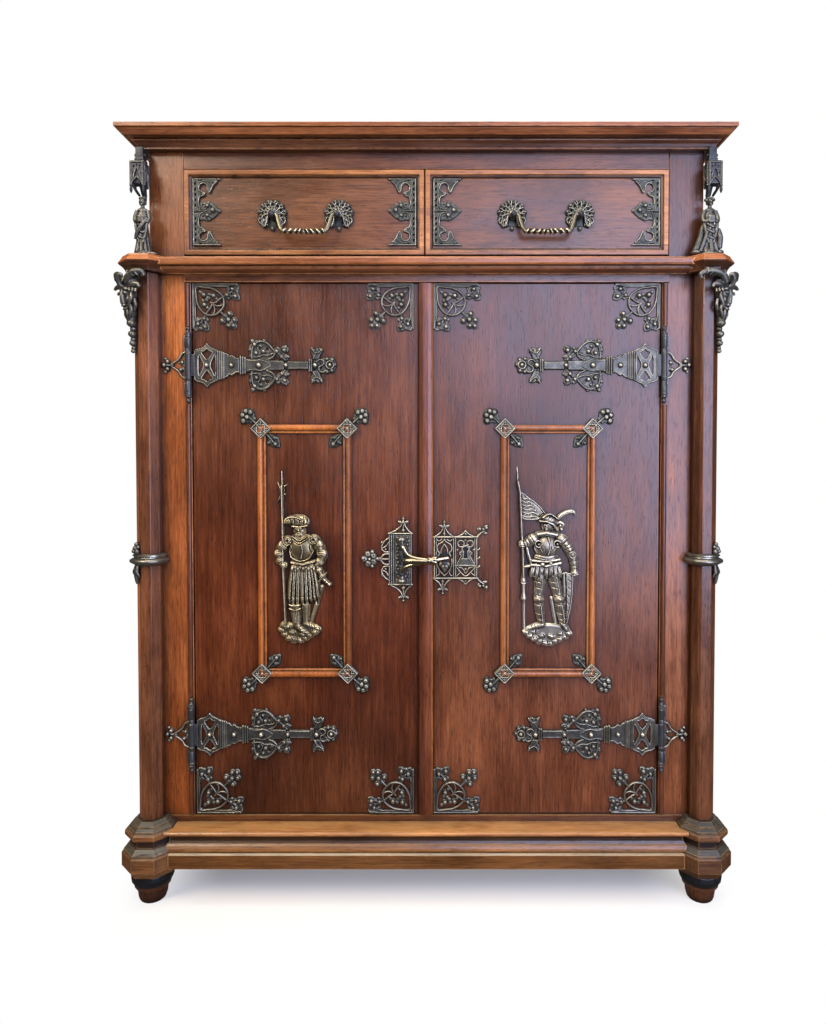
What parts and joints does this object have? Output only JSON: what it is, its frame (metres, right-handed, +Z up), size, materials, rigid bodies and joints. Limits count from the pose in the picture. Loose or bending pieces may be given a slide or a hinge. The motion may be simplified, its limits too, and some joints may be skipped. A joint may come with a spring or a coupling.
{
  "type": "low side cabinet",
  "caption": "Half-height side cabinet with columned corners, drawers over paired doors, cast strap hinges, corner mounts, figures, bail pulls and a swinging latch handle.",
  "frame": {"origin": "middle of the bounding box, on the floor", "axes": "+Z up, +X to the right seen from the front, +Y to the back; the doors face -Y"},
  "size_m": [1.0284, 0.4822, 1.298],
  "materials": {
    "case_wood": "polished red-brown walnut, vertical grain on stiles, doors and columns",
    "moulding_wood": "polished walnut mouldings, worn lighter on the edges",
    "inside_wood": "plain unpolished softwood",
    "old_brass": "dark patina in the hollows, rubbed gold on the high points",
    "bright_brass": "polished by use",
    "lock_iron": "dark iron"
  },
  "bodies": {
    "carcass": {"back_panel": "inside_wood", "bottom_board": "inside_wood", "column_base_left": "case_wood", "column_base_right": "case_wood", "column_capital_left": "case_wood", "column_capital_right": "case_wood", "column_shaft_left": "case_wood", "column_shaft_right": "case_wood", "cornice_frame": "moulding_wood", "drawer_deck": "inside_wood", "drawer_divider": "inside_wood", "foot_front_left": "case_wood", "foot_front_right": "case_wood", "foot_rear_left": "case_wood", "foot_rear_right": "case_wood", "frieze_rail": "case_wood", "front_stile_left": "case_wood", "front_stile_right": "case_wood", "hinge_leaf_lower_left": "old_brass", "hinge_leaf_lower_right": "old_brass", "hinge_leaf_upper_left": "old_brass", "hinge_leaf_upper_right": "old_brass", "mask_bracket_left": "old_brass", "mask_bracket_right": "old_brass", "niche_figure_left": "old_brass", "niche_figure_right": "old_brass", "plinth_front": "moulding_wood", "plinth_left": "case_wood", "plinth_right": "case_wood", "shelf": "inside_wood", "side_panel_left": "case_wood", "side_panel_right": "case_wood", "top_board": "moulding_wood", "waist_moulding": "moulding_wood"},
    "left_door": {"door_left": "case_wood", "frame_moulding_left": "moulding_wood", "figure_left": "old_brass", "strap_upper_left": "old_brass", "strap_lower_left": "old_brass", "latch_plate": "old_brass"},
    "right_door": {"door_right": "case_wood", "astragal": "moulding_wood", "frame_moulding_right": "moulding_wood", "figure_right": "old_brass", "strap_upper_right": "old_brass", "strap_lower_right": "old_brass", "lock_plate": "old_brass", "lock_case": "lock_iron"},
    "latch_handle": {"latch_handle": "bright_brass"},
    "drawer_left": {"drawer_front_left": "case_wood", "drawer_box_left": "inside_wood", "rosette_left_a": "old_brass", "rosette_left_b": "old_brass"},
    "drawer_right": {"drawer_front_right": "case_wood", "drawer_box_right": "inside_wood", "rosette_right_a": "old_brass", "rosette_right_b": "old_brass"},
    "bail_left": {"bail_left": "old_brass"},
    "bail_right": {"bail_right": "old_brass"}
  },
  "joints": [
    {"name": "right_door_hinge", "type": "hinge", "parent": "carcass", "child": "right_door", "pos_m": [0.401, -0.1949, 0.6], "axis": [0, 0, 1], "range_deg": [0, 105]},
    {"name": "left_door_hinge", "type": "hinge", "parent": "carcass", "child": "left_door", "pos_m": [-0.401, -0.1949, 0.6], "axis": [0, 0, -1], "range_deg": [0, 105]},
    {"name": "latch_handle_swing", "type": "hinge", "parent": "left_door", "child": "latch_handle", "pos_m": [-0.0415, -0.2029, 0.582], "axis": [0, 0, -1], "range_deg": [0, 110]},
    {"name": "left_drawer_slide", "type": "slide", "parent": "carcass", "child": "drawer_left", "axis": [0, -1, 0], "range_m": [0, 0.3]},
    {"name": "right_drawer_slide", "type": "slide", "parent": "carcass", "child": "drawer_right", "axis": [0, -1, 0], "range_m": [0, 0.3]},
    {"name": "left_bail_swing", "type": "hinge", "parent": "drawer_left", "child": "bail_left", "pos_m": [-0.2034, -0.2019, 1.158], "axis": [-1, 0, 0], "range_deg": [0, 80]},
    {"name": "right_bail_swing", "type": "hinge", "parent": "drawer_right", "child": "bail_right", "pos_m": [0.2016, -0.2019, 1.158], "axis": [-1, 0, 0], "range_deg": [0, 80]}
  ],
  "couplings": [
    {"joint": "left_door_hinge", "follows": "right_door_hinge", "ratio": 1}
  ]
}
